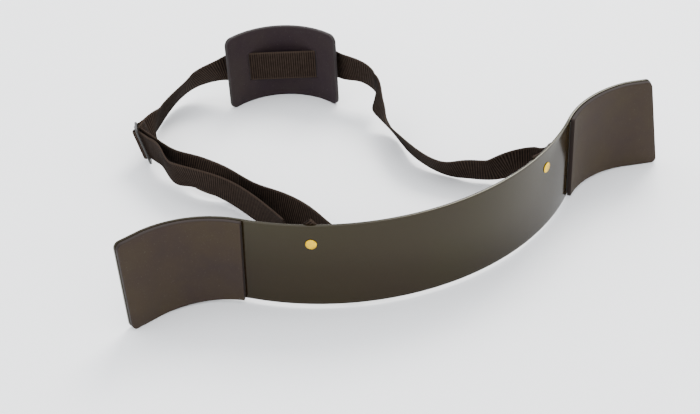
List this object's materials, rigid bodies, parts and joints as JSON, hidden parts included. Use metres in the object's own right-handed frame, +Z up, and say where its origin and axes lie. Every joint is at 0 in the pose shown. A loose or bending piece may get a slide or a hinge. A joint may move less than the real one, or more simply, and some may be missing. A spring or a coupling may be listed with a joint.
{
  "type": "arm blaster",
  "caption": "Curved metal plate with padded, flared ends that braces the upper arms during curls, hung from the neck on webbing with a neck pad and a slider.",
  "frame": {"origin": "on the floor, at the centre of the whole object's footprint as it stands on its plate's end corners", "axes": "+X along the plate's chord, -Y towards the outer side with the elbow pads, +Y towards the wearer's side with the strap, +Z up"},
  "size_m": [0.6245, 0.4599, 0.111],
  "materials": {
    "plate_metal": "glossy dark olive-brown coat",
    "elbow_foam": "matte closed-cell foam",
    "adhesive": "thin dark sheet",
    "rivet_brass": "polished",
    "washer_steel": "plated",
    "webbing": "flat woven webbing",
    "neck_foam": "matte foam with a smooth skin",
    "slider_plastic": "moulded, satin"
  },
  "bodies": {
    "plate": {"arm_plate": "plate_metal", "elbow_pad_left": "elbow_foam", "elbow_pad_right": "elbow_foam", "elbow_pad_adhesive_left": "adhesive", "elbow_pad_adhesive_right": "adhesive", "rivet_front_left": "rivet_brass", "rivet_front_right": "rivet_brass", "rivet_back_left": "rivet_brass", "rivet_back_right": "rivet_brass", "rivet_washer_left": "washer_steel", "rivet_washer_right": "washer_steel", "strap_anchor_left": "webbing", "strap_anchor_right": "webbing"},
    "strap": {"neck_strap_turn": "webbing", "neck_strap_right_run": "webbing", "neck_strap_span": "webbing", "neck_strap_left_run": "webbing", "adjuster_strap_turn": "webbing", "adjuster_strap_run": "webbing", "adjuster_strap_tail": "webbing"},
    "slider": {"slider_frame": "slider_plastic", "adjuster_strap_wrap": "webbing", "neck_strap_end_loop": "webbing"},
    "neck_pad": {"neck_pad": "neck_foam"}
  },
  "joints": [
    {"name": "strap_swing", "type": "hinge", "parent": "plate", "child": "strap", "pos_m": [0, -0.1901, 0.082], "axis": [1, 0, 0], "range_deg": [0, 90], "deforming": ["neck_strap_turn", "adjuster_strap_turn"]},
    {"name": "slider_slide", "type": "slide", "parent": "strap", "child": "slider", "axis": [0.2614, 0.96, -0.1005], "range_m": [-0.01, 0.012], "deforming": ["adjuster_strap_wrap", "neck_strap_end_loop"]},
    {"name": "neck_pad_slide", "type": "slide", "parent": "strap", "child": "neck_pad", "axis": [0.91, -0.4147, 0], "range_m": [-0.008, 0.003]}
  ]
}
